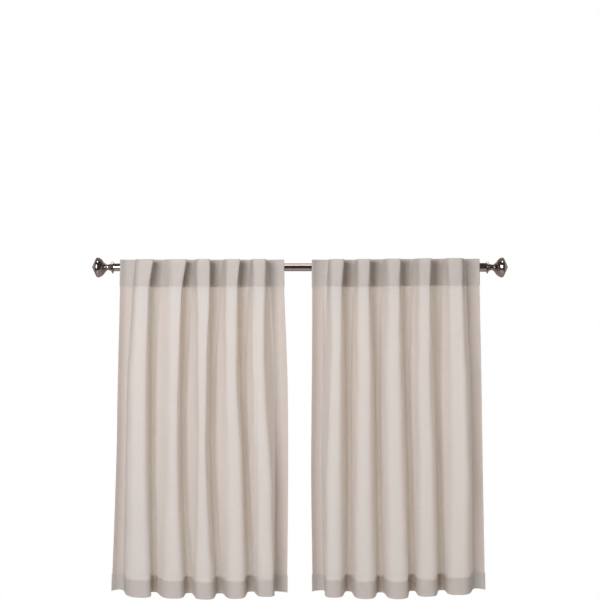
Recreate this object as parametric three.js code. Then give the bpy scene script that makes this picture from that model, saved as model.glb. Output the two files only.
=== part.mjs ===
// A pair of cafe curtain panels hung by hidden back tabs on a telescoping metal rod with turned finials.
// Millimetres, +Z up, +X to the right along the rod, the front of the curtain towards -Y.
// The origin is on the axis of the rod, at the middle of its length.
import * as THREE from "three";

// Rod: a thin tube slides in a thick one, and a turned finial closes each outer end
const rodHalfLength = 516.5;
const innerTube = { radius: 11.1, bore: 10.2, from: -rodHalfLength, to: 205 };
const outerTube = { radius: 12.7, bore: 11.7, from: 88, to: rodHalfLength };
const fitGap = 0.3;
const spigotLength = 16;
const tubeSides = 32;
const finialSides = 26;

// Cloth: cut widths, lengths and thicknesses of one panel
const panelWidth = 914;
const panelLength = 914;
const headingDepth = 71;
const bottomHemDepth = 43;
const clothThickness = 1.6;
const hemExtra = 0.8;
const topAboveAxis = 19;
const clothToRod = 0.5;

// Back tabs: strips of cloth, flat when cut, that pass over and behind the rod
const tabWidth = 38;
const tabThickness = 1.2;
const tabSlack = 0.4;
const tabTopInset = 2.5;
const tabFoot = 4;
const tabArcSteps = 9;

// Folding of the cloth: 6 valleys that lie at the rod and 5 folds that stand forward between them
const foldCount = 5;
const edgeForward = 12;
const valleyY = -(outerTube.radius + clothToRod + clothThickness + hemExtra);

// Heights of the lines where the heading and the bottom hem are sewn, and of the bottom edge
const headingLineZ = topAboveAxis - headingDepth;
const bottomZ = topAboveAxis - panelLength;
const hemLineZ = bottomZ + bottomHemDepth;

// The tables give each place at these five heights above the rod's axis
const tableHeights = [topAboveAxis, headingLineZ, -300, -560, bottomZ];

// Half the flat stretch of a valley, and how far a corner is rounded, from 0 (sharp) to 1, at the same heights
const shapeByHeight = {
  flat: [20, 15, 6, 5, 8],
  valleyRound: [0.5, 0.55, 0.8, 0.85, 0.8],
  leftRound: [0.7, 0.7, 0.8, 0.85, 0.9],
  rightRound: [0.5, 0.55, 0.7, 0.8, 0.9],
};

// One row a fold: valley is the middle of the valley on its left, left and right are the corners of its front.
// topLift and hemLift raise the cloth's top and bottom edge there, and valleyLift the bottom edge in the valley.
// The row after the last fold has only the last valley. edge is the way across from a panel's first or last
// valley to its side edge.
const leftFolds = [
  {
    edge: 24,
    valley: [-473, -474, -480, -485, -497],
    left: [-440, -443, -455, -460, -460],
    right: [-394, -406, -413, -413, -402],
    topLift: 0,
    hemLift: -1,
    valleyLift: 6,
  },
  {
    valley: [-402, -404, -409, -409, -404],
    left: [-350, -352, -354, -355, -368],
    right: [-305, -317, -328, -330, -317],
    topLift: 0,
    hemLift: -3,
    valleyLift: -1,
  },
  {
    valley: [-312, -314, -322, -322, -306],
    left: [-278, -278, -273, -273, -281],
    right: [-242, -243, -252, -253, -234],
    topLift: 0,
    hemLift: -4,
    valleyLift: -4,
  },
  {
    valley: [-235, -236, -242, -242, -222],
    left: [-199, -199, -199, -194, -194],
    right: [-160, -167, -170, -157, -149],
    topLift: 0,
    hemLift: -2,
    valleyLift: -5,
  },
  {
    valley: [-156, -157, -158, -150, -136],
    left: [-127, -127, -124, -117, -113],
    right: [-92, -94, -97, -79, -68],
    topLift: 0,
    hemLift: 4,
    valleyLift: 0,
  },
  { edge: 31, valley: [-76, -75, -66, -64, -67], topLift: 0, valleyLift: 1 },
];
const rightFolds = [
  {
    edge: 24,
    valley: [58, 58, 57, 55, 59],
    left: [84, 84, 82, 74, 70],
    right: [122, 114, 111, 110, 113],
    topLift: 0,
    hemLift: 2,
    valleyLift: 4,
  },
  {
    valley: [132, 132, 134, 136, 134],
    left: [157, 157, 157, 154, 151],
    right: [191, 188, 191, 192, 201],
    topLift: 0,
    hemLift: -3,
    valleyLift: 1,
  },
  {
    valley: [206, 207, 213, 216, 222],
    left: [239, 239, 234, 236, 240],
    right: [275, 270, 272, 279, 292],
    topLift: 1,
    hemLift: -3,
    valleyLift: -2,
  },
  {
    valley: [290, 291, 294, 302, 309],
    left: [324, 324, 321, 323, 321],
    right: [357, 353, 352, 361, 369],
    topLift: 2,
    hemLift: 4,
    valleyLift: 2,
  },
  {
    valley: [371, 372, 375, 381, 390],
    left: [403, 405, 411, 411, 402],
    right: [441, 440, 448, 457, 456],
    topLift: 2.5,
    hemLift: 7,
    valleyLift: 4,
  },
  { edge: 24, valley: [471, 472, 477, 481, 487], topLift: 2.5, valleyLift: 9 },
];

// Heights of the rows of a panel's mesh, with a short step where the thick heading and hem begin
const hemStep = 2;
const bodySteps = 10;
const panelRows = [topAboveAxis, headingLineZ + hemStep];
for (let i = 0; i <= bodySteps; i += 1) {
  panelRows.push(THREE.MathUtils.lerp(headingLineZ, hemLineZ, i / bodySteps));
}
panelRows.push(hemLineZ - hemStep, bottomZ);

const linen = new THREE.MeshStandardMaterial({ color: 0xd2c8c1, roughness: 0.95, metalness: 0 });
const linenTape = new THREE.MeshStandardMaterial({ color: 0xc9beb6, roughness: 0.95, metalness: 0 });
const pewter = new THREE.MeshStandardMaterial({ color: 0x6d6462, roughness: 0.22, metalness: 1 });

// A smooth curve through values at the table's heights, read at height z
function atHeight(values, z) {
  const last = tableHeights.length - 1;
  let k = 0;
  while (k < last - 1 && z < tableHeights[k + 1]) k += 1;
  const span = tableHeights[k + 1] - tableHeights[k];
  const slope = (i) => {
    const low = Math.max(i - 1, 0);
    const high = Math.min(i + 1, last);
    return (values[high] - values[low]) / (tableHeights[high] - tableHeights[low]);
  };
  const t = (z - tableHeights[k]) / span;
  const t2 = t * t;
  const t3 = t2 * t;
  return (
    values[k] * (2 * t3 - 3 * t2 + 1) +
    slope(k) * span * (t3 - 2 * t2 + t) +
    values[k + 1] * (3 * t2 - 2 * t3) +
    slope(k + 1) * span * (t3 - t2)
  );
}

// Points along a polygon whose corners are rounded, with `steps` pieces in each rounded corner
function roundedPath(corners, rounds, steps) {
  const points = [corners[0]];
  for (let i = 1; i < corners.length - 1; i += 1) {
    const here = corners[i];
    const before = here.distanceTo(corners[i - 1]) / (i === 1 ? 1 : 2);
    const after = here.distanceTo(corners[i + 1]) / (i === corners.length - 2 ? 1 : 2);
    const reach = rounds[i] * Math.min(before, after);
    const start = here.clone().sub(corners[i - 1]).setLength(reach).negate().add(here);
    const end = corners[i + 1].clone().sub(here).setLength(reach).add(here);
    const bend = new THREE.QuadraticBezierCurve(start, here, end);
    points.push(...bend.getPoints(steps[i]));
  }
  points.push(corners[corners.length - 1]);
  return points;
}

function pathLength(points) {
  let length = 0;
  for (let i = 1; i < points.length; i += 1) length += points[i].distanceTo(points[i - 1]);
  return length;
}

// The plan of one fold at height z, from the middle of its left valley to the middle of its right one
function foldPlan(fold, next, z, depth) {
  const flat = atHeight(shapeByHeight.flat, z);
  const valleyRound = atHeight(shapeByHeight.valleyRound, z);
  const from = atHeight(fold.valley, z);
  const to = atHeight(next.valley, z);
  const front = valleyY - depth;
  const corners = [
    new THREE.Vector2(from, valleyY),
    new THREE.Vector2(from + flat, valleyY),
    new THREE.Vector2(atHeight(fold.left, z), front),
    new THREE.Vector2(atHeight(fold.right, z), front),
    new THREE.Vector2(to - flat, valleyY),
    new THREE.Vector2(to, valleyY),
  ];
  const rounds = [
    0,
    valleyRound,
    atHeight(shapeByHeight.leftRound, z),
    atHeight(shapeByHeight.rightRound, z),
    valleyRound,
    0,
  ];
  return roundedPath(corners, rounds, [0, 2, 3, 3, 2, 0]);
}

// The folds of a panel share the cloth that its side edges leave
function clothOfAFold(folds) {
  const edges = [folds[0], folds[foldCount]].map(({ edge }) => Math.hypot(edge, edgeForward));
  return (panelWidth - edges[0] - edges[1]) / foldCount;
}

// Each fold holds the same width of cloth at every height, which settles how far it stands forward
function solveFold(fold, next, z, cloth) {
  let shallow = 0;
  let deep = cloth;
  while (deep - shallow > 0.01) {
    const depth = (shallow + deep) / 2;
    if (pathLength(foldPlan(fold, next, z, depth)) < cloth) shallow = depth;
    else deep = depth;
  }
  return foldPlan(fold, next, z, (shallow + deep) / 2);
}

// A place on a side edge, which curls forward as it leaves its valley: share is 0 at the valley and 1 at the edge
function edgePoint(row, z, side, share) {
  return new THREE.Vector2(atHeight(row.valley, z) + side * row.edge * share, valleyY - edgeForward * share ** 2);
}

// The front face of a panel at height z: its plan points and the lift of each
function panelSection(folds, z) {
  const last = folds[foldCount];
  const points = [edgePoint(folds[0], z, -1, 1), edgePoint(folds[0], z, -1, 0.5)];
  const down = (topAboveAxis - z) / panelLength;
  const liftOf = (fold, column) => THREE.MathUtils.lerp(fold.topLift, fold[column], down);
  const lifts = [liftOf(folds[0], "valleyLift"), liftOf(folds[0], "valleyLift")];
  for (let k = 0; k < foldCount; k += 1) {
    const plan = solveFold(folds[k], folds[k + 1], z, clothOfAFold(folds));
    const here = plan.slice(0, -1);
    here.forEach((point, i) => {
      const share = i / here.length;
      const towards = share < 0.5 ? liftOf(folds[k], "valleyLift") : liftOf(folds[k + 1], "valleyLift");
      const crest = liftOf(folds[k], "hemLift");
      points.push(point);
      lifts.push(THREE.MathUtils.lerp(towards, crest, Math.sin(Math.PI * share) ** 2));
    });
  }
  [0, 0.5, 1].forEach((share) => {
    points.push(edgePoint(last, z, 1, share));
    lifts.push(liftOf(last, "valleyLift"));
  });
  return { points, lifts };
}

// Thickness of the cloth: it is folded double in the heading and in the hems
function thicknessAt(column, columns, row, rows) {
  const sideHem = column < 2 || column > columns - 3;
  const heading = row < 2;
  const bottomHem = row > rows - 3;
  return clothThickness + (sideHem || heading || bottomHem ? hemExtra : 0);
}

// A panel is one closed sheet: its front face, its back face a thickness behind, and a rim round both
function makePanel(folds) {
  const positions = [];
  const faces = [];
  const rows = panelRows.length;
  let columns = 0;
  panelRows.forEach((z, row) => {
    const { points, lifts } = panelSection(folds, z);
    columns = points.length;
    points.forEach((point, i) => {
      const before = points[Math.max(i - 1, 0)];
      const after = points[Math.min(i + 1, columns - 1)];
      const along = after.clone().sub(before).normalize();
      const thickness = thicknessAt(i, columns, row, rows);
      positions.push(point.x, point.y, z + lifts[i]);
      positions.push(point.x - along.y * thickness, point.y + along.x * thickness, z + lifts[i]);
    });
  });
  const front = (row, column) => 2 * (row * columns + column);
  const back = (row, column) => front(row, column) + 1;
  const quad = (a, b, c, d) => faces.push(a, b, c, a, c, d);
  for (let row = 0; row < rows - 1; row += 1) {
    for (let column = 0; column < columns - 1; column += 1) {
      quad(front(row, column), front(row + 1, column), front(row + 1, column + 1), front(row, column + 1));
      quad(back(row, column), back(row, column + 1), back(row + 1, column + 1), back(row + 1, column));
    }
    quad(front(row, 0), back(row, 0), back(row + 1, 0), front(row + 1, 0));
    const end = columns - 1;
    quad(front(row, end), front(row + 1, end), back(row + 1, end), back(row, end));
  }
  const foot = rows - 1;
  for (let column = 0; column < columns - 1; column += 1) {
    quad(front(0, column), front(0, column + 1), back(0, column + 1), back(0, column));
    quad(front(foot, column), back(foot, column), back(foot, column + 1), front(foot, column + 1));
  }
  const geometry = new THREE.BufferGeometry();
  geometry.setAttribute("position", new THREE.Float32BufferAttribute(positions, 3));
  geometry.setIndex(faces);
  geometry.computeVertexNormals();
  return geometry;
}

// A back tab, from the top of the heading over the rod, round its back and down to the heading's lower line
function makeTab(rodRadius, lift) {
  const middle = rodRadius + tabSlack + tabThickness / 2;
  const sewnY = -(outerTube.radius + clothToRod) + fitGap + tabThickness / 2;
  const top = new THREE.Vector2(sewnY, topAboveAxis - tabTopInset + lift);
  const footTop = new THREE.Vector2(sewnY, headingLineZ + 2 * tabFoot + lift);
  const foot = new THREE.Vector2(sewnY, headingLineZ + tabFoot + lift);
  // The angles at which straight runs from the two seams touch the round of the rod
  const leave = top.angle() - Math.acos(middle / top.length());
  const land = footTop.angle() - 2 * Math.PI + Math.acos(middle / footTop.length());
  const line = [top];
  for (let i = 0; i <= tabArcSteps; i += 1) {
    const angle = THREE.MathUtils.lerp(leave, land, i / tabArcSteps);
    line.push(new THREE.Vector2(middle * Math.cos(angle), middle * Math.sin(angle)));
  }
  line.push(footTop, foot);
  const side = (sign) =>
    line.map((point, i) => {
      const before = line[Math.max(i - 1, 0)];
      const after = line[Math.min(i + 1, line.length - 1)];
      const along = after.clone().sub(before).normalize();
      const offset = (sign * tabThickness) / 2;
      return new THREE.Vector2(point.x - along.y * offset, point.y + along.x * offset);
    });
  const outline = new THREE.Shape([...side(1), ...side(-1).reverse()]);
  const geometry = new THREE.ExtrudeGeometry(outline, { depth: tabWidth, bevelEnabled: false, steps: 1 });
  geometry.translate(0, 0, -tabWidth / 2);
  // The outline's plane is the one across the rod
  const across = new THREE.Matrix4().makeBasis(
    new THREE.Vector3(0, 1, 0),
    new THREE.Vector3(0, 0, 1),
    new THREE.Vector3(1, 0, 0),
  );
  return geometry.applyMatrix4(across);
}

function makeTube(tube) {
  const length = tube.to - tube.from;
  const ring = [
    new THREE.Vector2(tube.bore, 0),
    new THREE.Vector2(tube.radius, 0),
    new THREE.Vector2(tube.radius, length),
    new THREE.Vector2(tube.bore, length),
    new THREE.Vector2(tube.bore, 0),
  ];
  return new THREE.LatheGeometry(ring, tubeSides);
}

// Turned profile of a finial, outwards from the tube's end: distance along the axis and radius.
// A collar, a thin flange, a waist, a bead, a bell, a steep front face, a dome and a button.
const finialProfile = [
  { along: 0.3, radius: 13.4 },
  { along: 1.4, radius: 14.4 },
  { along: 2.5, radius: 18 },
  { along: 3.5, radius: 18 },
  { along: 6, radius: 13.6 },
  { along: 8.8, radius: 10.2 },
  { along: 12, radius: 8.9 },
  { along: 17, radius: 8.2 },
  { along: 18.6, radius: 8.2 },
  { along: 20, radius: 10.6 },
  { along: 21.6, radius: 11.2 },
  { along: 25.4, radius: 16.1 },
  { along: 28.2, radius: 19.9 },
  { along: 31, radius: 22.6 },
  { along: 34.5, radius: 25.2 },
  { along: 38, radius: 27 },
  { along: 42, radius: 28.5 },
  { along: 45, radius: 28.2 },
  { along: 47.6, radius: 26.6 },
  { along: 50.4, radius: 21.6 },
  { along: 53, radius: 14.6 },
  { along: 55.9, radius: 10.6 },
  { along: 57.8, radius: 5.2 },
  { along: 58.8, radius: 3.8 },
  { along: 60.2, radius: 0 },
];

function makeFinial(tube) {
  const spigotRadius = tube.bore - fitGap;
  const points = [
    new THREE.Vector2(0, -spigotLength),
    new THREE.Vector2(spigotRadius, -spigotLength),
    new THREE.Vector2(spigotRadius, finialProfile[0].along),
    ...finialProfile.map(({ along, radius }) => new THREE.Vector2(radius, along)),
  ];
  return new THREE.LatheGeometry(points, finialSides);
}

function addPiece(parent, name, geometry, material) {
  const mesh = new THREE.Mesh(geometry, material);
  mesh.name = name;
  parent.add(mesh);
  return mesh;
}

// A piece turned about its own Y axis is laid along the rod, its outer end towards `direction`
function layAlongRod(mesh, direction, x) {
  mesh.rotation.z = (-direction * Math.PI) / 2;
  mesh.position.x = x;
}

const curtain = new THREE.Group();

const rod = new THREE.Group();
layAlongRod(addPiece(rod, "rod_inner", makeTube(innerTube), pewter), 1, innerTube.from);
layAlongRod(addPiece(rod, "rod_outer", makeTube(outerTube), pewter), 1, outerTube.from);
layAlongRod(addPiece(rod, "finial_left", makeFinial(innerTube), pewter), -1, innerTube.from);
layAlongRod(addPiece(rod, "finial_right", makeFinial(outerTube), pewter), 1, outerTube.to);
curtain.add(rod);

for (const [side, folds] of [["left", leftFolds], ["right", rightFolds]]) {
  const panel = new THREE.Group();
  addPiece(panel, `panel_${side}`, makePanel(folds), linen);
  folds.forEach((fold, k) => {
    const x = atHeight(fold.valley, 0);
    const tube = x > outerTube.from ? outerTube : innerTube;
    const tab = addPiece(panel, `tab_${side}_${k + 1}`, makeTab(tube.radius, fold.topLift), linenTape);
    tab.position.x = x;
  });
  curtain.add(panel);
}

export default curtain;
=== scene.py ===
"""Semi-sheer linen-look cafe curtains, hung by back tabs on a telescoping pewter rod with turned finials."""

import math

import bpy
import numpy as np
from mathutils import Matrix, Vector


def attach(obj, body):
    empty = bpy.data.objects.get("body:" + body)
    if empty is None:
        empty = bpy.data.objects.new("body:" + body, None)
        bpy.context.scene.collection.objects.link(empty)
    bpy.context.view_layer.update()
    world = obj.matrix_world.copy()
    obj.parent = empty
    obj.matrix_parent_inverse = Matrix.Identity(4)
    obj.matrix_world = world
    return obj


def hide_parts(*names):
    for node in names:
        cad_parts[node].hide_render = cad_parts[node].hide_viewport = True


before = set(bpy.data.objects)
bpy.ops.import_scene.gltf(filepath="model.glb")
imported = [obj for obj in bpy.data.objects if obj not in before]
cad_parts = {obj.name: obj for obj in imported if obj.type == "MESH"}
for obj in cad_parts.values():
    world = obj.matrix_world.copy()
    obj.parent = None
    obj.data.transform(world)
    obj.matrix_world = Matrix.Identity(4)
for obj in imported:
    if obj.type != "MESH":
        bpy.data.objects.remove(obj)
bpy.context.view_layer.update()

MM = 0.001

# View: straight on, from a height 110 mm below the cloth's top edge. The frame's width is measured where the
# valleys lie. The room's light is given as a share of full white.
FRAME_WIDTH = 1.656
CAMERA_DISTANCE = 2.85
CAMERA_HEIGHT = -0.091
SENSOR_WIDTH = 36.0
ROOM_BEHIND_CAMERA = 0.07
ROOM_BEHIND_CURTAIN = 0.38

# Rod and finials
INNER_RADIUS = 11.1 * MM
INNER_BORE = 10.2 * MM
OUTER_RADIUS = 12.7 * MM
OUTER_BORE = 11.7 * MM
ROD_END = 516.5 * MM
INNER_TO = 205 * MM
OUTER_FROM = 88 * MM
TUBE_EDGE = 0.25 * MM
SPIGOT_LENGTH = 16 * MM
SPIGOT_CLEARANCE = 0.3 * MM

# Cloth of one panel, hung
PANEL_WIDTH = 914 * MM
PANEL_LENGTH = 914 * MM
HEADING_DEPTH = 71 * MM
BOTTOM_HEM = 43 * MM
SIDE_HEM = 38 * MM
TOP_Z = 19 * MM
BOTTOM_Z = TOP_Z - PANEL_LENGTH
HEADING_Z = TOP_Z - HEADING_DEPTH
HEM_Z = BOTTOM_Z + BOTTOM_HEM
CLOTH_TO_ROD = 0.5 * MM
CLOTH_THICKNESS = 0.4 * MM
LAYER_PITCH = 0.48 * MM

# Folds of one panel: valleys at the rod, and folds that stand forward between them
FOLDS = 5
EDGE_FORWARD = 12 * MM
VALLEY_Y = -15.6 * MM
FOLD_ACCURACY = 0.02 * MM

# The tables below give each place, in millimetres, at these five heights
TABLE_HEIGHTS = np.array([TOP_Z, HEADING_Z, -0.300, -0.560, BOTTOM_Z])

# Half the flat stretch of a valley in millimetres, and how round each corner is, from 0 to 1
FLAT = [20, 15, 6, 5, 8]
VALLEY_ROUND = [0.5, 0.55, 0.8, 0.85, 0.8]
LEFT_ROUND = [0.7, 0.7, 0.8, 0.85, 0.9]
RIGHT_ROUND = [0.5, 0.55, 0.7, 0.8, 0.9]

# One row a fold: the middle of the valley on its left, and the left and right corners of its front.
# The lifts raise the top edge, the bottom edge of the fold and the bottom edge in the valley.
# edge is the way across from a panel's first or last valley to its side edge.
LEFT_FOLDS = [
    dict(edge=20, valley=[-473, -474, -480, -485, -497], left=[-440, -443, -455, -460, -460],
         right=[-394, -406, -413, -413, -402], top_lift=0, hem_lift=-1, valley_lift=6),
    dict(valley=[-402, -404, -409, -409, -404], left=[-350, -352, -354, -355, -368],
         right=[-305, -317, -328, -330, -317], top_lift=0, hem_lift=-3, valley_lift=-1),
    dict(valley=[-312, -314, -322, -322, -306], left=[-278, -278, -273, -273, -281],
         right=[-242, -243, -252, -253, -234], top_lift=0, hem_lift=-4, valley_lift=-4),
    dict(valley=[-235, -236, -242, -242, -222], left=[-199, -199, -199, -194, -194],
         right=[-160, -167, -170, -157, -149], top_lift=0, hem_lift=-2, valley_lift=-5),
    dict(valley=[-156, -157, -158, -150, -136], left=[-127, -127, -124, -117, -113],
         right=[-92, -94, -97, -79, -68], top_lift=0, hem_lift=4, valley_lift=0),
    dict(edge=31, valley=[-76, -75, -66, -64, -67], top_lift=0, valley_lift=1),
]
RIGHT_FOLDS = [
    dict(edge=24, valley=[58, 58, 57, 55, 59], left=[84, 84, 82, 74, 70],
         right=[122, 114, 111, 110, 113], top_lift=0, hem_lift=2, valley_lift=4),
    dict(valley=[132, 132, 134, 136, 134], left=[157, 157, 157, 154, 151],
         right=[191, 188, 191, 192, 201], top_lift=0, hem_lift=-3, valley_lift=1),
    dict(valley=[206, 207, 213, 216, 222], left=[239, 239, 234, 236, 240],
         right=[275, 270, 272, 279, 292], top_lift=1, hem_lift=-3, valley_lift=-2),
    dict(valley=[290, 291, 294, 302, 309], left=[324, 324, 321, 323, 321],
         right=[357, 353, 352, 361, 369], top_lift=2, hem_lift=4, valley_lift=2),
    dict(valley=[371, 372, 375, 381, 390], left=[403, 405, 411, 411, 402],
         right=[441, 440, 448, 457, 456], top_lift=2.5, hem_lift=7, valley_lift=4),
    dict(edge=21, valley=[471, 472, 477, 481, 487], top_lift=2.5, valley_lift=9),
]

# Creases, most where the folds' left slopes meet their fronts: soft troughs down the cloth,
# and a soft ridge where the depth is below 0. place and depth are in millimetres at the tables' heights,
# width is half the crease's width.
LEFT_CREASES = [
    dict(fold=1, place=[-354, -354, -356, -357, -366], depth=[0, 0.8, 1.3, 0.9, 0], width=6),
    dict(fold=2, place=[-284, -283, -280, -281, -288], depth=[0.6, 1.4, 2.4, 2.6, 1.0], width=6),
    dict(fold=3, place=[-206, -206, -205, -200, -198], depth=[0, 1.2, 1.7, 0.9, 0.6], width=6),
    dict(fold=4, place=[-130, -127, -120, -120, -118], depth=[0.6, 1.4, 2.2, 2.6, 0.8], width=6),
    dict(fold=0, place=[-447, -450, -464, -470, -475], depth=[-3, -4, -6, -6, -4], width=18),
]
RIGHT_CREASES = [
    dict(fold=0, place=[86, 85, 80, 70, 68], depth=[0.6, 1.4, 1.4, 0.6, 0], width=4),
    dict(fold=2, place=[238, 238, 236, 234, 236], depth=[0, 1.8, 0.9, 0.7, 0], width=6),
    dict(fold=3, place=[318, 316, 313, 312, 312], depth=[0.7, 1.3, 1.8, 0.9, 0], width=6),
    dict(fold=4, place=[400, 400, 402, 405, 400], depth=[0.6, 1.1, 0.7, 0.8, 0.3], width=7),
    dict(fold=4, place=[424, 424, 430, 432, 430], depth=[0, 0.3, 0.9, 1.0, 0.4], width=10),
]

# Unevenness of the cloth: how far it stands out, and how far puckers reach from the lines of stitches. All of
# it fades towards the rod, and is full where the cloth stands this far forward of the valleys.
RELIEF_FULL_AT = 35 * MM
PUCKER = 0.4 * MM
HEADING_PUCKER_REACH = 16 * MM
HEM_PUCKER_REACH = 14 * MM
HEM_PUCKER_SHARE = 0.8
LONG_WAVES = 0.8 * MM
SHORT_WAVES = 0.5 * MM
SEAM_DEPTH = 0.35 * MM
SEAM_WIDTH = 0.9 * MM

# Mesh of a panel: cells in each straight and each rounded stretch of a fold's plan, and rows down its height
STRAIGHT_CELLS = [3, 5, 4, 5, 3]
BEND_CELLS = [6, 8, 8, 6]
FOLD_CELLS = sum(STRAIGHT_CELLS) + sum(BEND_CELLS)
SLOPE_AND_FRONT_CELLS = sum(STRAIGHT_CELLS[:3]) + sum(BEND_CELLS[:2])
EDGE_CELLS = 4
TURN_CELLS = 4
HEADING_ROWS = 10
BODY_ROWS = 96
HEM_ROWS = 6
# Rows across a line of stitches, which draws the cloth in, the way to the next row, and the row of each line
SEAM_ROWS = np.array([1.8, 0.8, 0, -0.8, -1.8]) * MM
SEAM_MIDDLE = len(SEAM_ROWS) // 2
SEAM_CLEAR = 3.5 * MM
HEADING_SEAM = HEADING_ROWS + SEAM_MIDDLE
HEM_SEAM = HEADING_ROWS + len(SEAM_ROWS) + BODY_ROWS + SEAM_MIDDLE

# Heading and bottom hem, turned to the back twice: the middle and the radius of the cloth's turn at the edge
# and of its turn inwards at the hem's line, counted in layers behind the front
EDGE_TURN = (2.5, 2.5)
HEM_LINE_TURN = (3.5, 1.5)

# Sewing: stitches and the cotton thread. A stitch has its full width over the middle of its length, and
# stands out of the cloth further than it sinks in, both as shares of the thread's radius.
STITCH = 3.0 * MM
STITCH_GAP = 0.9 * MM
STITCH_INSIDE_HEM = 2 * MM
STITCH_FULL_PART = (-0.3, 0.3)
THREAD_RADIUS = 0.24 * MM
THREAD_RISE = 1.4
THREAD_SINK = 0.5

# Back tabs: their clearances, where they end behind the heading, their cells, and how far apart they lie on
# the bolt of cloth, so that each shows its own slubs
TAB_WIDTH = 38 * MM
TAB_THICKNESS = 1.1 * MM
TAB_TO_ROD = 0.4 * MM
TAB_TO_HEADING = 0.3 * MM
TAB_BELOW_TOP = 2.5 * MM
TAB_SEWN_FROM = 8 * MM
TAB_SEWN_TO = 4 * MM
TAB_TOP_CELLS = 6
TAB_ROUND_CELLS = 24
TAB_BACK_CELLS = 12
TAB_CELLS_ACROSS = 12
TAB_FLAT_STEP = 0.1

# Weave: slubs as noise cells to a metre across and down the cloth, how strong they are along the warp beside
# the weft, and the way from yarn to yarn. Real yarns lie 0.6 mm apart, too fine for the picture, so they are
# drawn twice as coarse. A wave texture runs through 20 radians in one unit.
WEFT_SLUBS = (22, 900, 1)
WARP_SLUBS = (900, 14, 1)
WARP_SLUB_SHARE = 0.3
YARN_PITCH = 1.2 * MM
WAVE_RADIANS = 20

# Turned metal: sides of each ring, the least radius and the distance within which points are joined, and the
# angle from which an edge is sharp
TURN_SIDES = 96
LEAST_RADIUS = 0.01 * MM
JOINED_WITHIN = 0.02 * MM
SHARP_FROM = math.radians(32)

FLOOR_Z = -1.8
FLOOR_SIZE = 5


# Colour and nodes

def srgb(code):
    """The linear colour of an sRGB hex value."""
    parts = [int(code[i:i + 2], 16) / 255 for i in (1, 3, 5)]
    linear = [p / 12.92 if p <= 0.04045 else ((p + 0.055) / 1.055) ** 2.4 for p in parts]
    return (*linear, 1.0)


def add_node(tree, kind, settings=None, inputs=None):
    """Adds a node. settings are its own properties; inputs are socket values, or sockets to link from."""
    node = tree.nodes.new(kind)
    for name, value in (settings or {}).items():
        setattr(node, name, value)
    for name, value in (inputs or {}).items():
        socket = node.inputs[name]
        if isinstance(value, bpy.types.NodeSocket):
            tree.links.new(value, socket)
        else:
            socket.default_value = value
    return node


def new_material(name):
    """An empty material and its node tree."""
    material = bpy.data.materials.new(name)
    material.use_nodes = True
    material.node_tree.nodes.clear()
    return material, material.node_tree


def finish_material(tree, shader):
    add_node(tree, "ShaderNodeOutputMaterial", inputs={"Surface": shader})


def slub_noise(tree, place, cells):
    """Thick places in the yarn, drawn long in one direction of the cloth."""
    stretched = add_node(tree, "ShaderNodeMapping", inputs={"Vector": place, "Scale": cells})
    return add_node(tree, "ShaderNodeTexNoise",
                    inputs={"Vector": stretched.outputs["Vector"], "Scale": 1.0, "Detail": 2.0})


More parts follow.
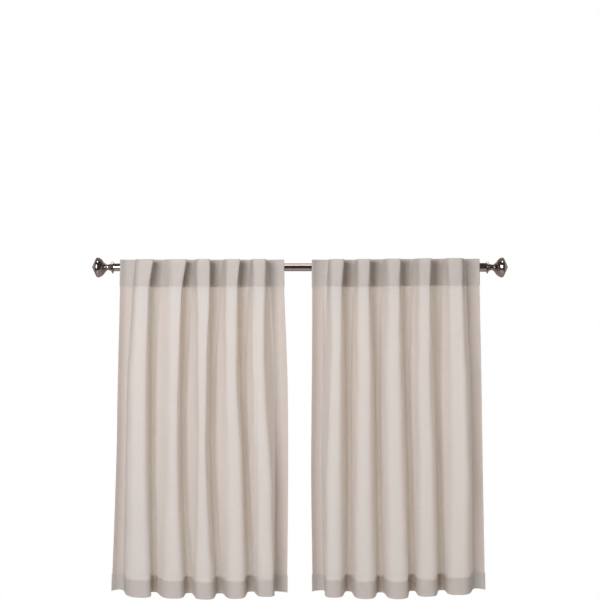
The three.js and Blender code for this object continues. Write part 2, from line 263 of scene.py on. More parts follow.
def linen_material(name, reflected, passed, passing, open_share):
    """Semi-sheer slub cloth, plain woven of polyester spun to look like linen: matt, lit from behind as well
    as in front, warmer where light comes through it. passing is the share of the light that goes through, and
    open_share the share of open space between threads, which shows what is behind."""
    material, tree = new_material(name)
    cloth = add_node(tree, "ShaderNodeUVMap", {"uv_map": "cloth"})
    # Slubs a yarn or two wide, about 45 mm long along the weft and 70 mm along the warp
    weft_slubs = slub_noise(tree, cloth.outputs["UV"], WEFT_SLUBS)
    warp_slubs = slub_noise(tree, cloth.outputs["UV"], WARP_SLUBS)
    slubs = add_node(tree, "ShaderNodeMath", {"operation": "MULTIPLY_ADD"},
                     {0: warp_slubs.outputs["Fac"], 1: WARP_SLUB_SHARE, 2: weft_slubs.outputs["Fac"]})
    # The weave: warp and weft as two sets of bands that cross
    yarn = 2 * math.pi / YARN_PITCH
    bands = []
    for direction in ("X", "Y"):
        bands.append(add_node(tree, "ShaderNodeTexWave",
                              {"wave_type": "BANDS", "bands_direction": direction, "wave_profile": "SIN"},
                              {"Vector": cloth.outputs["UV"], "Scale": yarn / WAVE_RADIANS, "Distortion": 0.6,
                               "Detail": 1.0, "Detail Scale": 0.4}))
    weave = add_node(tree, "ShaderNodeMath", {"operation": "MULTIPLY"},
                     {0: bands[0].outputs["Fac"], 1: bands[1].outputs["Fac"]})
    relief = add_node(tree, "ShaderNodeMath", {"operation": "MULTIPLY_ADD"},
                      {0: weave.outputs["Value"], 1: 0.5, 2: slubs.outputs["Value"]})
    bump = add_node(tree, "ShaderNodeBump", inputs={"Strength": 0.35, "Distance": 0.12 * MM,
                                                    "Height": relief.outputs["Value"]})
    # The dye takes a little unevenly, a shade either side of the cloth's colour
    tone = add_node(tree, "ShaderNodeMapRange", inputs={"Value": slubs.outputs["Value"], "From Min": 0.4,
                                                        "From Max": 0.9, "To Min": 0.96, "To Max": 1.03})
    shades = []
    for colour in (reflected, passed):
        shades.append(add_node(tree, "ShaderNodeVectorMath", {"operation": "SCALE"},
                               {0: srgb(colour)[:3], "Scale": tone.outputs["Result"]}))
    front = add_node(tree, "ShaderNodeBsdfPrincipled",
                     inputs={"Base Color": shades[0].outputs["Vector"], "Roughness": 0.85,
                             "Specular IOR Level": 0.2, "Sheen Weight": 0.15, "Sheen Roughness": 0.5,
                             "Normal": bump.outputs["Normal"]})
    through = add_node(tree, "ShaderNodeBsdfTranslucent",
                       inputs={"Color": shades[1].outputs["Vector"], "Normal": bump.outputs["Normal"]})
    body = add_node(tree, "ShaderNodeMixShader", inputs={0: passing, 1: front.outputs["BSDF"],
                                                         2: through.outputs["BSDF"]})
    gaps = add_node(tree, "ShaderNodeBsdfTransparent")
    whole = add_node(tree, "ShaderNodeMixShader", inputs={0: open_share, 1: body.outputs["Shader"],
                                                          2: gaps.outputs["BSDF"]})
    finish_material(tree, whole.outputs["Shader"])
    return material


def pewter_material():
    """Steel and cast zinc plated in dark polished pewter: a clear mirror with a warm grey tint and faint
    marks of the polishing wheel round it."""
    material, tree = new_material("polished_pewter_plate")
    place = add_node(tree, "ShaderNodeTexCoord")
    # Polishing marks run round the rod, about 0.3 mm apart, drawn 1 mm apart
    along = add_node(tree, "ShaderNodeMapping",
                     inputs={"Vector": place.outputs["Object"], "Scale": (1000, 60, 60)})
    marks = add_node(tree, "ShaderNodeTexNoise",
                     inputs={"Vector": along.outputs["Vector"], "Scale": 1.0, "Detail": 3.0})
    rough = add_node(tree, "ShaderNodeMapRange",
                     inputs={"Value": marks.outputs["Fac"], "From Min": 0.3, "From Max": 0.7,
                             "To Min": 0.07, "To Max": 0.13})
    bump = add_node(tree, "ShaderNodeBump", inputs={"Strength": 0.03, "Distance": 0.02 * MM,
                                                    "Height": marks.outputs["Fac"]})
    metal = add_node(tree, "ShaderNodeBsdfPrincipled",
                     inputs={"Base Color": srgb("#B09F99"), "Metallic": 1.0,
                             "Roughness": rough.outputs["Result"], "Normal": bump.outputs["Normal"]})
    finish_material(tree, metal.outputs["BSDF"])
    return material


def plain_material(name, colour, roughness):
    """A surface of one colour, with a faint unevenness in its gloss."""
    material, tree = new_material(name)
    place = add_node(tree, "ShaderNodeTexCoord")
    grain = add_node(tree, "ShaderNodeTexNoise", inputs={"Vector": place.outputs["Object"], "Scale": 400.0})
    rough = add_node(tree, "ShaderNodeMapRange",
                     inputs={"Value": grain.outputs["Fac"], "To Min": roughness - 0.08,
                             "To Max": roughness + 0.08})
    surface = add_node(tree, "ShaderNodeBsdfPrincipled",
                       inputs={"Base Color": srgb(colour), "Roughness": rough.outputs["Result"]})
    finish_material(tree, surface.outputs["BSDF"])
    return material


# Shape of the cloth

def at_height(values, z):
    """A smooth curve through a table's values, read at height z. The result is in metres."""
    values = np.array(values) * MM
    last = len(values) - 1
    k = 0
    while k < last - 1 and z < TABLE_HEIGHTS[k + 1]:
        k += 1

    def slope(i):
        low, high = max(i - 1, 0), min(i + 1, last)
        return (values[high] - values[low]) / (TABLE_HEIGHTS[high] - TABLE_HEIGHTS[low])

    span = TABLE_HEIGHTS[k + 1] - TABLE_HEIGHTS[k]
    t = (z - TABLE_HEIGHTS[k]) / span
    return (values[k] * (2 * t**3 - 3 * t**2 + 1) + slope(k) * span * (t**3 - 2 * t**2 + t)
            + values[k + 1] * (3 * t**2 - 2 * t**3) + slope(k + 1) * span * (t**3 - t**2))


def rounded_path(corners, rounds):
    """Points along a polygon with rounded corners: straight stretches and bends, each in its own cells."""
    corners = np.array(corners)
    last = len(corners) - 1
    starts, ends = [], []
    for i in range(1, last):
        back = corners[i - 1] - corners[i]
        ahead = corners[i + 1] - corners[i]
        # Corners share the stretch between them, and the first and last have their outer stretch alone
        room_back = np.linalg.norm(back) / (1 if i == 1 else 2)
        room_ahead = np.linalg.norm(ahead) / (1 if i == last - 1 else 2)
        reach = rounds[i - 1] * min(room_back, room_ahead)
        starts.append(corners[i] + back * reach / np.linalg.norm(back))
        ends.append(corners[i] + ahead * reach / np.linalg.norm(ahead))
    points = []
    here = corners[0]
    for i in range(1, last + 1):
        stop = starts[i - 1] if i < last else corners[last]
        t = np.arange(STRAIGHT_CELLS[i - 1])[:, None] / STRAIGHT_CELLS[i - 1]
        points.append(here + (stop - here) * t)
        if i < last:
            t = np.arange(BEND_CELLS[i - 1])[:, None] / BEND_CELLS[i - 1]
            points.append((1 - t)**2 * starts[i - 1] + 2 * t * (1 - t) * corners[i] + t**2 * ends[i - 1])
            here = ends[i - 1]
    points.append(corners[last:])
    return np.concatenate(points)


def path_length(points):
    return np.linalg.norm(np.diff(points, axis=0), axis=1).sum()


def fold_plan(fold, following, z, depth):
    """The plan of a fold at height z, from the middle of its left valley to the middle of its right one."""
    flat = at_height(FLAT, z)
    start = at_height(fold["valley"], z)
    stop = at_height(following["valley"], z)
    corners = [
        (start, VALLEY_Y),
        (start + flat, VALLEY_Y),
        (at_height(fold["left"], z), VALLEY_Y - depth),
        (at_height(fold["right"], z), VALLEY_Y - depth),
        (stop - flat, VALLEY_Y),
        (stop, VALLEY_Y),
    ]
    rounds = [at_height(table, z) / MM for table in (VALLEY_ROUND, LEFT_ROUND, RIGHT_ROUND, VALLEY_ROUND)]
    return rounded_path(corners, rounds)


def cloth_of_a_fold(folds):
    """The folds of a panel share the cloth that its side edges leave."""
    edges = [math.hypot(row["edge"] * MM, EDGE_FORWARD) for row in (folds[0], folds[FOLDS])]
    return (PANEL_WIDTH - sum(edges)) / FOLDS


def solve_fold(fold, following, z, cloth):
    """Each fold holds the same width of cloth at every height, which settles how far it stands forward."""
    shallow, deep = 0.0, cloth
    while deep - shallow > FOLD_ACCURACY:
        depth = (shallow + deep) / 2
        if path_length(fold_plan(fold, following, z, depth)) < cloth:
            shallow = depth
        else:
            deep = depth
    return fold_plan(fold, following, z, (shallow + deep) / 2)


def edge_points(row, z, side):
    """A side edge from its valley outwards. It curls forward on the way."""
    share = np.arange(1, EDGE_CELLS + 1) / EDGE_CELLS
    return np.column_stack([at_height(row["valley"], z) + side * row["edge"] * MM * share,
                            VALLEY_Y - EDGE_FORWARD * share**2])


def panel_row(folds, z):
    """The cloth's plan at height z and the lift of each of its points."""
    down = (TOP_Z - z) / PANEL_LENGTH

    def lift(fold, column):
        return (fold["top_lift"] + (fold[column] - fold["top_lift"]) * down) * MM

    last = folds[FOLDS]
    cloth = cloth_of_a_fold(folds)
    points = [edge_points(folds[0], z, -1)[::-1]]
    lifts = [np.full(EDGE_CELLS, lift(folds[0], "valley_lift"))]
    for fold, following in zip(folds, folds[1:]):
        plan = solve_fold(fold, following, z, cloth)[:-1]
        share = np.arange(len(plan)) / len(plan)
        valley = np.where(share < 0.5, lift(fold, "valley_lift"), lift(following, "valley_lift"))
        crest = np.sin(np.pi * share)**2
        points.append(plan)
        lifts.append(valley + (lift(fold, "hem_lift") - valley) * crest)
    points.append(np.array([(at_height(last["valley"], z), VALLEY_Y)]))
    points.append(edge_points(last, z, 1))
    lifts.append(np.full(EDGE_CELLS + 1, lift(last, "valley_lift")))
    return np.concatenate(points), np.concatenate(lifts)


def panel_heights():
    """Heights of the rows of a panel: heading, seam, body, seam and hem."""
    return np.concatenate([
        np.linspace(TOP_Z, HEADING_Z + SEAM_CLEAR, HEADING_ROWS),
        HEADING_Z + SEAM_ROWS,
        np.linspace(HEADING_Z - SEAM_CLEAR, HEM_Z + SEAM_CLEAR, BODY_ROWS),
        HEM_Z + SEAM_ROWS,
        np.linspace(HEM_Z - SEAM_CLEAR, BOTTOM_Z, HEM_ROWS),
    ])


def grid_normals(points):
    """Normals of a grid of points, towards the front."""
    across = np.gradient(points, axis=1)
    down = np.gradient(points, axis=0)
    normals = np.cross(down, across)
    return normals / np.linalg.norm(normals, axis=2, keepdims=True)


def column_at(points, widths, width):
    """The column of a grid that lies a given width of cloth from its left edge."""
    return np.stack([[np.interp(width, widths[i], points[i, :, k]) for k in range(3)]
                     for i in range(len(points))])


def relief(points, widths, heights, creases):
    """How far the cloth stands forward of the folds' plain shape at each point: creases, seams that draw the
    cloth in, puckers beside them, and long and short waves. Where the cloth lies at the rod it stays put."""
    forward = np.clip((VALLEY_Y - points[:, :, 1]) / RELIEF_FULL_AT, 0, 1)
    z = heights[:, None]
    rise = np.zeros(widths.shape)
    for crease in creases:
        first = EDGE_CELLS + crease["fold"] * FOLD_CELLS
        here = slice(first, first + SLOPE_AND_FRONT_CELLS)
        for i, height in enumerate(heights):
            middle = np.interp(at_height(crease["place"], height), points[i, here, 0], widths[i, here])
            depth = at_height(crease["depth"], height)
            rise[i] -= depth * np.exp(-((widths[i] - middle) / (crease["width"] * MM))**2)
    near_heading = np.exp(-np.abs(z - HEADING_Z) / HEADING_PUCKER_REACH)
    near_hem = np.exp(-np.abs(z - HEM_Z) / HEM_PUCKER_REACH)
    # Sums of waves with lengths that have no common measure, so that nothing repeats across a panel
    pucker = np.sin(widths / (3.1 * MM) + 2.2 * np.sin(widths / (23 * MM))) * np.sin(widths / (37 * MM) + 1)
    long_waves = np.sin(z / (43 * MM) + widths / (30 * MM)) * np.sin(widths / (61 * MM) + 0.6)
    short_waves = np.sin(z / (19 * MM) - widths / (41 * MM)) * np.sin(z / (90 * MM) + widths / (17 * MM))
    rise += PUCKER * pucker * (near_heading + HEM_PUCKER_SHARE * near_hem)
    rise += LONG_WAVES * long_waves
    rise += SHORT_WAVES * short_waves
    seams = np.exp(-((z - HEADING_Z) / SEAM_WIDTH)**2) + np.exp(-((z - HEM_Z) / SEAM_WIDTH)**2)
    return rise * forward - SEAM_DEPTH * seams * forward


def panel_surface(folds, creases):
    """The hung cloth's main layer as a grid, with the flat width of each point and the length down to each
    row."""
    heights = panel_heights()
    rows = [panel_row(folds, z) for z in heights]
    points = np.stack([np.column_stack([plan, z + lifts]) for z, (plan, lifts) in zip(heights, rows)])
    steps = np.linalg.norm(np.diff(points[:, :, :2], axis=1), axis=2)
    widths = np.concatenate([np.zeros((len(heights), 1)), np.cumsum(steps, axis=1)], axis=1)
    points = points + grid_normals(points) * relief(points, widths, heights, creases)[:, :, None]
    return points, widths, TOP_Z - heights


def bend(turn, angle, end):
    """A stage of the cloth's way round a turn, counted in layers: its depth behind the front, what a side
    hem adds to that, its lift, and what a side hem adds to that. end is 1 where the turn is upwards."""
    centre, radius = turn
    across = math.cos(angle)
    out = math.sin(angle)
    return centre - radius * across, across, radius * out * end, -out * end


def double_hem(line, edge, lengths, end):
    """Rows of a hem turned twice, from the edge on: the outer layer, the turn at the hem's line and the inner
    layer. line and edge are row numbers. Each row has its number, its bend and its flat way past the edge."""
    step = 1 if line > edge else -1
    depth = abs(lengths[line] - lengths[edge])
    angles = np.linspace(math.pi, 0, TURN_CELLS + 1)
    outer = bend(EDGE_TURN, math.pi, end)
    inner = bend(HEM_LINE_TURN, 0, -end)
    rows = [(i, outer, abs(lengths[i] - lengths[edge])) for i in range(edge + step, line, step)]
    rows += [(line, bend(HEM_LINE_TURN, angle, -end), depth) for angle in angles]
    rows += [(i, inner, depth + abs(lengths[line] - lengths[i])) for i in range(line - step, edge, -step)]
    return rows


def hemmed_cloth(points, widths, lengths):
    """The whole cut cloth: the main layer with its side hems turned to the back once, and its heading and
    bottom hem twice. Returns a grid of points and the flat place of each."""
    normals = grid_normals(points)
    rows, columns = points.shape[:2]
    # Columns: the turned side hems, the turns at the edges, and the main layer. Each has its points, the way
    # the cloth faces there, the angle of its turn, its side (0 in the main layer) and its flat place.
    hem_steps = np.linspace(SIDE_HEM, 0, EDGE_CELLS + 2)[:-1]
    turns = np.linspace(math.pi, 0, TURN_CELLS + 1)
    layers = []
    for width in hem_steps:
        layers.append((column_at(points, widths, width), column_at(normals, widths, width), math.pi, -1,
                       np.full(rows, -width)))
    for angle in turns[:-1]:
        layers.append((points[:, 0], normals[:, 0], angle, -1, np.zeros(rows)))
    for j in range(columns):
        layers.append((points[:, j], normals[:, j], 0.0, 0, widths[:, j]))
    for angle in turns[::-1][1:]:
        layers.append((points[:, -1], normals[:, -1], angle, 1, widths[:, -1]))
    for width in hem_steps[::-1]:
        place = widths[:, -1].min() - width
        layers.append((column_at(points, widths, place), column_at(normals, widths, place), math.pi, 1,
                       widths[:, -1] + width))
    base = np.stack([layer[0] for layer in layers], axis=1)
    facing = np.stack([layer[1] for layer in layers], axis=1)
    side_angle = np.array([layer[2] for layer in layers])
    side = np.array([layer[3] for layer in layers])
    flat_width = np.stack([layer[4] for layer in layers], axis=1)
    outward = np.gradient(points, axis=1)
    outward = outward / np.linalg.norm(outward, axis=2, keepdims=True)
    edge_out = np.where(side[None, :, None] < 0, -outward[:, :1], outward[:, -1:])
    # Rows: the turned heading, the turn at the top, the main layer, the turn at the bottom and the turned hem
    heading = double_hem(HEADING_SEAM + SEAM_MIDDLE, 0, lengths, 1)
    hem = double_hem(HEM_SEAM - SEAM_MIDDLE, rows - 1, lengths, -1)
    plan = [(i, stage, -past) for i, stage, past in heading[::-1]]
    plan += [(0, bend(EDGE_TURN, angle, 1), 0.0) for angle in turns[:-1]]
    plan += [(i, bend(EDGE_TURN, 0, 1), lengths[i]) for i in range(rows)]
    plan += [(rows - 1, bend(EDGE_TURN, angle, -1), lengths[-1]) for angle in turns[::-1][1:]]
    plan += [(i, stage, lengths[-1] + past) for i, stage, past in hem]
    grid, flat = [], []
    side_layers = (1 - np.cos(side_angle)) / 2
    side_bulge = LAYER_PITCH / 2 * np.sin(side_angle) * (side != 0)
    for i, (layers_in_front, per_side_hem, lift, lift_per_side_hem), flat_length in plan:
        depth = (layers_in_front + per_side_hem * side_layers) * LAYER_PITCH
        row = base[i] - facing[i] * depth[:, None] + edge_out[i] * side_bulge[:, None]
        row[:, 2] += (lift + lift_per_side_hem * side_layers) * LAYER_PITCH
        grid.append(row)
        flat.append(np.column_stack([flat_width[i], np.full(len(row), flat_length)]))
    return np.stack(grid), np.stack(flat)


def grid_object(name, grid, flat, material):
    """A cloth mesh from a grid of points, with its flat places as the UV map."""
    rows, columns = grid.shape[:2]
    index = np.arange(rows * columns).reshape(rows, columns)
    faces = np.stack([index[:-1, :-1], index[1:, :-1], index[1:, 1:], index[:-1, 1:]], axis=2).reshape(-1, 4)
    mesh = bpy.data.meshes.new(name)
    mesh.from_pydata(grid.reshape(-1, 3).tolist(), [], faces.tolist())
    layer = mesh.uv_layers.new(name="cloth")
    places = flat.reshape(-1, 2)[faces.reshape(-1)]
    layer.data.foreach_set("uv", places.astype(np.float32).reshape(-1))
    mesh.update()
    mesh.shade_smooth()
    cloth = bpy.data.objects.new(name, mesh)
    bpy.context.collection.objects.link(cloth)
    mesh.materials.append(material)
    return cloth


def select_only(piece):
    bpy.ops.object.select_all(action="DESELECT")
    piece.select_set(True)
    bpy.context.view_layer.objects.active = piece


def thicken(cloth, thickness):
    """Gives a sheet its real thickness, half on each side."""
    select_only(cloth)
    solid = cloth.modifiers.new("thickness", "SOLIDIFY")
    solid.thickness = thickness
    solid.offset = 0
    solid.use_even_offset = False
    bpy.ops.object.modifier_apply(modifier=solid.name)


def stitches_along(line, normals):
    """Stitches on a line of points on the cloth: each is a short thread, thickest in its middle."""
    run = np.concatenate([[0], np.cumsum(np.linalg.norm(np.diff(line, axis=0), axis=1))])

    def at(distance, table):
        return np.array([np.interp(distance, run, table[:, k]) for k in range(3)])

    vertices, faces = [], []
    for start in np.arange(STITCH_GAP, run[-1] - STITCH, STITCH + STITCH_GAP):
        ends = [at(start, line), at(start + STITCH, line)]
        middle = (ends[0] + ends[1]) / 2
        out = at(start + STITCH / 2, normals)
        out = out / np.linalg.norm(out)
        across = np.cross(ends[1] - ends[0], out)
        across = across / np.linalg.norm(across)
        first = len(vertices)
        skin = out * (CLOTH_THICKNESS / 2)
        vertices += [ends[0] + skin, ends[1] + skin]
        for share in STITCH_FULL_PART:
            here = middle + (ends[1] - ends[0]) * share + skin
            vertices += [here + across * THREAD_RADIUS, here + out * THREAD_RADIUS * THREAD_RISE,
                         here - across * THREAD_RADIUS, here - out * THREAD_RADIUS * THREAD_SINK]
        for i in range(4):
            j = (i + 1) % 4
            faces.append((first, first + 2 + j, first + 2 + i))
            faces.append((first + 1, first + 6 + i, first + 6 + j))
            faces.append((first + 2 + i, first + 2 + j, first + 6 + j, first + 6 + i))
    return vertices, faces


def make_stitches(side, points, widths, material):
    """The thread that shows on a panel's front: along the heading, the bottom hem and both side hems."""
    normals = grid_normals(points)
    inset = SIDE_HEM - STITCH_INSIDE_HEM
    lines = [(points[HEADING_SEAM], normals[HEADING_SEAM]), (points[HEM_SEAM], normals[HEM_SEAM])]
    for width in (inset, widths[:, -1].min() - inset):
        lines.append((column_at(points, widths, width), column_at(normals, widths, width)))
    vertices, faces = [], []
    for line, out in lines:
        more, corners = stitches_along(line, out)
        faces += [tuple(len(vertices) + c for c in face) for face in corners]
        vertices += more
    mesh = bpy.data.meshes.new(f"stitches_{side}")
    mesh.from_pydata([tuple(v) for v in vertices], [], faces)
    mesh.update()
    mesh.shade_smooth()
    mesh.materials.append(material)
    threads = bpy.data.objects.new(f"stitches_{side}", mesh)
    bpy.context.collection.objects.link(threads)
    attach(threads, "root")
    return threads


def make_panel(side, points, widths, lengths, material):
    """A hemmed panel, and the length that its cloth is cut to."""
    grid, flat = hemmed_cloth(points, widths, lengths)
    panel = grid_object(f"cloth_panel_{side}", grid, flat, material)
    thicken(panel, CLOTH_THICKNESS)
    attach(panel, "root")
    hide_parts(f"panel_{side}")
    return panel, flat[-1, 0, 1] - flat[0, 0, 1]


# Back tabs

def make_tab(side, number, fold, material):
    """A back tab: sewn in under the heading's top edge, over the rod, round its back and down to the
    heading's lower line."""
    x = at_height(fold["valley"], 0)
    rod_radius = OUTER_RADIUS if x > OUTER_FROM else INNER_RADIUS
    middle = rod_radius + TAB_TO_ROD + TAB_THICKNESS / 2
    lift = fold["top_lift"] * MM
    sewn_y = -(OUTER_RADIUS + CLOTH_TO_ROD) + TAB_TO_HEADING + TAB_THICKNESS / 2
    top = Vector((sewn_y, TOP_Z - TAB_BELOW_TOP + lift))
    foot_top = Vector((sewn_y, HEADING_Z + TAB_SEWN_FROM + lift))
    foot = Vector((sewn_y, HEADING_Z + TAB_SEWN_TO + lift))
    # The strip runs straight, along tangents, to where it meets the rod's back and from where it leaves it
    meet = math.atan2(top.y, top.x) - math.acos(middle / top.length)
    leave = math.atan2(foot_top.y, foot_top.x) + math.acos(middle / foot_top.length)
    meeting = Vector((math.cos(meet), math.sin(meet))) * middle
    line = [top + (meeting - top) * t / TAB_TOP_CELLS for t in range(TAB_TOP_CELLS)]
    for i in range(TAB_ROUND_CELLS + 1):
        angle = meet + (leave - meet) * i / TAB_ROUND_CELLS
        line.append(Vector((math.cos(angle), math.sin(angle))) * middle)
    leaving = line[-1]
    line += [leaving + (foot_top - leaving) * t / TAB_BACK_CELLS for t in range(1, TAB_BACK_CELLS + 1)]
    line.append(foot)
    line = np.array([tuple(p) for p in line])
    run = np.concatenate([[0], np.cumsum(np.linalg.norm(np.diff(line, axis=0), axis=1))])
    columns = TAB_CELLS_ACROSS + 1
    across = np.linspace(-TAB_WIDTH / 2, TAB_WIDTH / 2, columns)
    grid = np.zeros((len(line), columns, 3))
    grid[:, :, 0] = x + across[None, :]
    grid[:, :, 1] = line[:, 0][:, None]
    grid[:, :, 2] = line[:, 1][:, None]
    flat = np.zeros((len(line), columns, 2))
    flat[:, :, 0] = across[None, :] + number * TAB_FLAT_STEP
    flat[:, :, 1] = run[:, None]
    tab = grid_object(f"back_tab_{side}_{number}", grid[::-1], flat[::-1], material)
    thicken(tab, TAB_THICKNESS)
    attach(tab, "root")
    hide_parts(f"tab_{side}_{number}")
    return tab


# Rod and finials

# Turned profile of a finial, outwards from the tube's end, in millimetres, with its sharp edges marked
FINIAL_PROFILE = [
    dict(along=0.3, radius=13.4, sharp=True),
    dict(along=1.4, radius=14.4, sharp=False),
    dict(along=2.4, radius=17.8, sharp=True),
    dict(along=3.5, radius=18.0, sharp=True),
    dict(along=6.0, radius=13.6, sharp=False),
    dict(along=8.8, radius=10.2, sharp=False),
    dict(along=12.0, radius=8.9, sharp=False),
    dict(along=15.0, radius=8.2, sharp=False),
    dict(along=17.8, radius=8.0, sharp=True),
    dict(along=18.8, radius=8.9, sharp=False),
    dict(along=19.8, radius=10.4, sharp=False),
    dict(along=20.8, radius=10.9, sharp=False),
    dict(along=21.6, radius=10.7, sharp=True),
    dict(along=22.6, radius=12.6, sharp=False),
    dict(along=25.4, radius=16.1, sharp=False),
    dict(along=28.2, radius=19.9, sharp=False),
    dict(along=31.0, radius=22.6, sharp=False),
    dict(along=34.5, radius=25.2, sharp=False),
    dict(along=38.0, radius=27.1, sharp=False),
    dict(along=41.0, radius=28.3, sharp=False),
    dict(along=43.5, radius=28.5, sharp=False),
    dict(along=45.6, radius=28.0, sharp=False),
    dict(along=47.6, radius=26.4, sharp=False),
    dict(along=50.4, radius=21.4, sharp=False),
    dict(along=52.6, radius=15.9, sharp=True),
    dict(along=53.9, radius=14.2, sharp=False),
    dict(along=55.9, radius=10.6, sharp=False),
    dict(along=57.2, radius=7.2, sharp=False),
    dict(along=58.0, radius=4.6, sharp=True),
    dict(along=58.8, radius=3.8, sharp=False),
    dict(along=59.7, radius=2.3, sharp=False),
    dict(along=60.2, radius=0.0, sharp=True),
]


def smooth_profile(rows, between=3):
    """Adds points between the rows of a profile, on curves that break only at its sharp edges."""
    points = [np.array((row["along"], row["radius"])) * MM for row in rows]
    fine = []
    for i in range(len(rows) - 1):
        here, there = points[i], points[i + 1]
        before = here if rows[i]["sharp"] or i == 0 else points[i - 1]
        after = there if rows[i + 1]["sharp"] or i + 2 == len(rows) else points[i + 2]
        for t in np.arange(between) / between:
            square = (2 * before - 5 * here + 4 * there - after) * t**2
            cube = (3 * here - before - 3 * there + after) * t**3
            fine.append(0.5 * (2 * here + (there - before) * t + square + cube))
    return fine + [points[-1]]


def turned_piece(name, profile, direction, x, material):
    """Turns a profile: a ring is extruded along the axis from point to point and scaled to each radius."""
    bpy.ops.object.select_all(action="DESELECT")
    along, radius = profile[0]
    bpy.ops.mesh.primitive_circle_add(vertices=TURN_SIDES, radius=radius, fill_type="NOTHING",
                                      location=(0, 0, along))
    piece = bpy.context.active_object
    piece.name = name
    bpy.ops.object.mode_set(mode="EDIT")
    for (before, old), (after, new) in zip(profile, profile[1:]):
        bpy.ops.mesh.extrude_region_move(TRANSFORM_OT_translate={"value": (0, 0, after - before)})
        scale = max(new, LEAST_RADIUS) / max(old, LEAST_RADIUS)
        bpy.ops.transform.resize(value=(scale, scale, 1), center_override=(0, 0, after))
    bpy.ops.mesh.select_all(action="SELECT")
    bpy.ops.mesh.remove_doubles(threshold=JOINED_WITHIN)
    bpy.ops.mesh.select_all(action="DESELECT")
    bpy.ops.mesh.select_non_manifold()
    if profile[0][1] != profile[-1][1]:
        bpy.ops.mesh.edge_face_add()
    bpy.ops.mesh.select_all(action="SELECT")
    bpy.ops.mesh.normals_make_consistent(inside=False)
    bpy.ops.object.mode_set(mode="OBJECT")
    # The axis is laid along the rod, its outer end towards `direction`
    place = Matrix.Translation((x, 0, 0)) @ Matrix.Rotation(direction * math.pi / 2, 4, "Y")
    at = piece.matrix_world.copy()
    piece.matrix_world = Matrix.Identity(4)
    piece.data.transform(place @ at)
    piece.data.materials.append(material)
    select_only(piece)
    bpy.ops.object.shade_smooth_by_angle(angle=SHARP_FROM)
    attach(piece, "root")
    return piece


def make_finial(side, bore, direction, material):
    """A finial on a plain spigot that stands in its tube."""
    spigot_radius = bore - SPIGOT_CLEARANCE
    collar = FINIAL_PROFILE[0]["along"] * MM
    spigot = [np.array((-SPIGOT_LENGTH, spigot_radius)), np.array((collar, spigot_radius))]
    finial = turned_piece(f"turned_finial_{side}", spigot + smooth_profile(FINIAL_PROFILE), direction,
                          direction * ROD_END, material)
    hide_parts(f"finial_{side}")
    return finial


def make_tube(name, node, radius, bore, start, stop, material):
    """A drawn tube with its ends eased a little."""
    ease = TUBE_EDGE
    profile = [(start + ease, bore), (start, bore + ease), (start, radius - ease), (start + ease, radius),
               (stop - ease, radius), (stop, radius - ease), (stop, bore + ease), (stop - ease, bore),
               (start + ease, bore)]
    tube = turned_piece(name, [np.array(p) for p in profile], 1, 0, material)
    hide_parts(node)
    return tube


# Stage, light and camera

def make_camera():
    data = bpy.data.cameras.new("camera")
    data.sensor_width = SENSOR_WIDTH
    data.lens = SENSOR_WIDTH * CAMERA_DISTANCE / FRAME_WIDTH
    camera = bpy.data.objects.new("camera", data)
    camera.location = (0, VALLEY_Y - CAMERA_DISTANCE, CAMERA_HEIGHT)
    camera.rotation_euler = (math.pi / 2, 0, 0)
    bpy.context.collection.objects.link(camera)
    bpy.context.scene.camera = camera


def add_area_light(name, place, target, size, power, colour):
    data = bpy.data.lights.new(name, "AREA")
    data.shape = "RECTANGLE"
    data.size, data.size_y = size
    data.energy = power
    data.color = srgb(colour)[:3]
    light = bpy.data.objects.new(name, data)
    light.location = place
    light.rotation_euler = (Vector(target) - Vector(place)).to_track_quat("-Z", "Y").to_euler()
    light.visible_camera = False
    bpy.context.collection.objects.link(light)
    return light


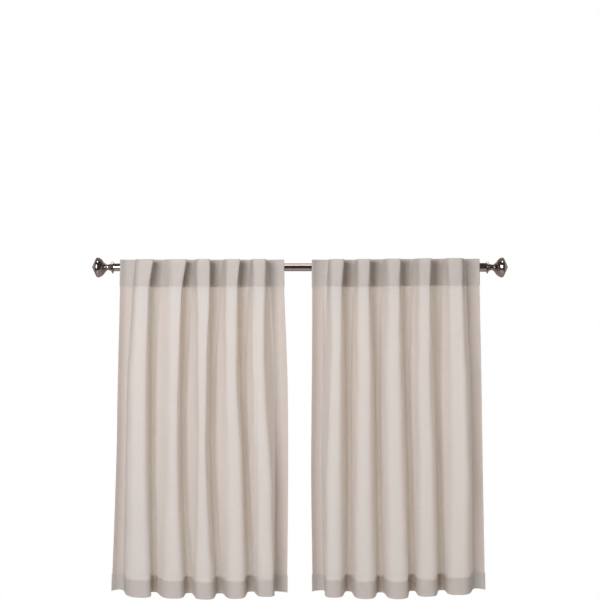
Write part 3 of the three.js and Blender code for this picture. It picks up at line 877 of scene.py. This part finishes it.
def make_light():
    """A studio that is white behind the curtain and dark behind the camera. A tall soft light stands left of
    the camera, a wide one hangs overhead, a window lights the cloth from behind, and a weaker light fills the
    right and stays out of the metal's reflections."""
    world = bpy.data.worlds.new("white_studio")
    bpy.context.scene.world = world
    world.use_nodes = True
    tree = world.node_tree
    tree.nodes.clear()
    rays = add_node(tree, "ShaderNodeLightPath")
    around = add_node(tree, "ShaderNodeTexCoord")
    split = add_node(tree, "ShaderNodeSeparateXYZ", inputs={"Vector": around.outputs["Generated"]})
    shade = add_node(tree, "ShaderNodeMapRange",
                     inputs={"Value": split.outputs["Y"], "From Min": -0.1, "From Max": 0.35,
                             "To Min": ROOM_BEHIND_CAMERA, "To Max": ROOM_BEHIND_CURTAIN})
    strength = add_node(tree, "ShaderNodeMix", {"data_type": "FLOAT"},
                        {0: rays.outputs["Is Camera Ray"], 2: shade.outputs["Result"], 3: 1.0})
    room = add_node(tree, "ShaderNodeBackground",
                    inputs={"Color": (1, 1, 1, 1), "Strength": strength.outputs[0]})
    add_node(tree, "ShaderNodeOutputWorld", inputs={"Surface": room.outputs["Background"]})
    add_area_light("key", (-1.0, -2.2, 0.25), (0, 0, -0.45), (1.2, 1.3), 50, "#F1F5FF")
    add_area_light("overhead", (0, -0.9, 1.95), (0, -0.1, -0.2), (0.9, 0.7), 11, "#FFFFFF")
    add_area_light("window", (0, 1.6, 0.7), (0, 0, -0.2), (2.4, 1.0), 14, "#FFFFFF")
    fill = add_area_light("right_fill", (1.7, -1.5, -0.35), (0.2, 0, -0.45), (0.9, 1.2), 12, "#F6F8FF")
    fill.visible_glossy = False


def make_floor():
    bpy.ops.object.select_all(action="DESELECT")
    bpy.ops.mesh.primitive_plane_add(size=FLOOR_SIZE, location=(0, 0, FLOOR_Z))
    floor = bpy.context.active_object
    floor.name = "floor"
    floor.data.transform(Matrix.Translation((0, 0, FLOOR_Z)))
    floor.location = (0, 0, 0)
    floor.data.materials.append(plain_material("pale_floor", "#E9E7E4", 0.6))


make_camera()
linen = linen_material("semi_sheer_slub_linen", "#F4F1EC", "#EBD8C4", 0.44, 0.26)
# The tabs' cloth is cut in strips, folded double and pressed, so it passes less light and shows no open weave
tab_linen = linen_material("doubled_tab_linen", "#EAE4E1", "#DECDBD", 0.3, 0.0)
# The thread is spun of cotton: matt, and a little darker than the cloth it is sewn in
thread = plain_material("cotton_thread", "#E9E1D8", 0.85)
pewter = pewter_material()

tubes = [
    make_tube("thin_tube", "rod_inner", INNER_RADIUS, INNER_BORE, -ROD_END, INNER_TO, pewter),
    make_tube("thick_tube", "rod_outer", OUTER_RADIUS, OUTER_BORE, OUTER_FROM, ROD_END, pewter),
]
make_finial("left", INNER_BORE, -1, pewter)
make_finial("right", OUTER_BORE, 1, pewter)

for side, folds, creases in (("left", LEFT_FOLDS, LEFT_CREASES), ("right", RIGHT_FOLDS, RIGHT_CREASES)):
    points, widths, lengths = panel_surface(folds, creases)
    panel, cut_length = make_panel(side, points, widths, lengths, linen)
    sewn = [make_tab(side, k + 1, fold, tab_linen) for k, fold in enumerate(folds)]
    sewn.append(make_stitches(side, points, widths, thread))

make_light()
make_floor()
bpy.context.scene.view_settings.view_transform = "Standard"
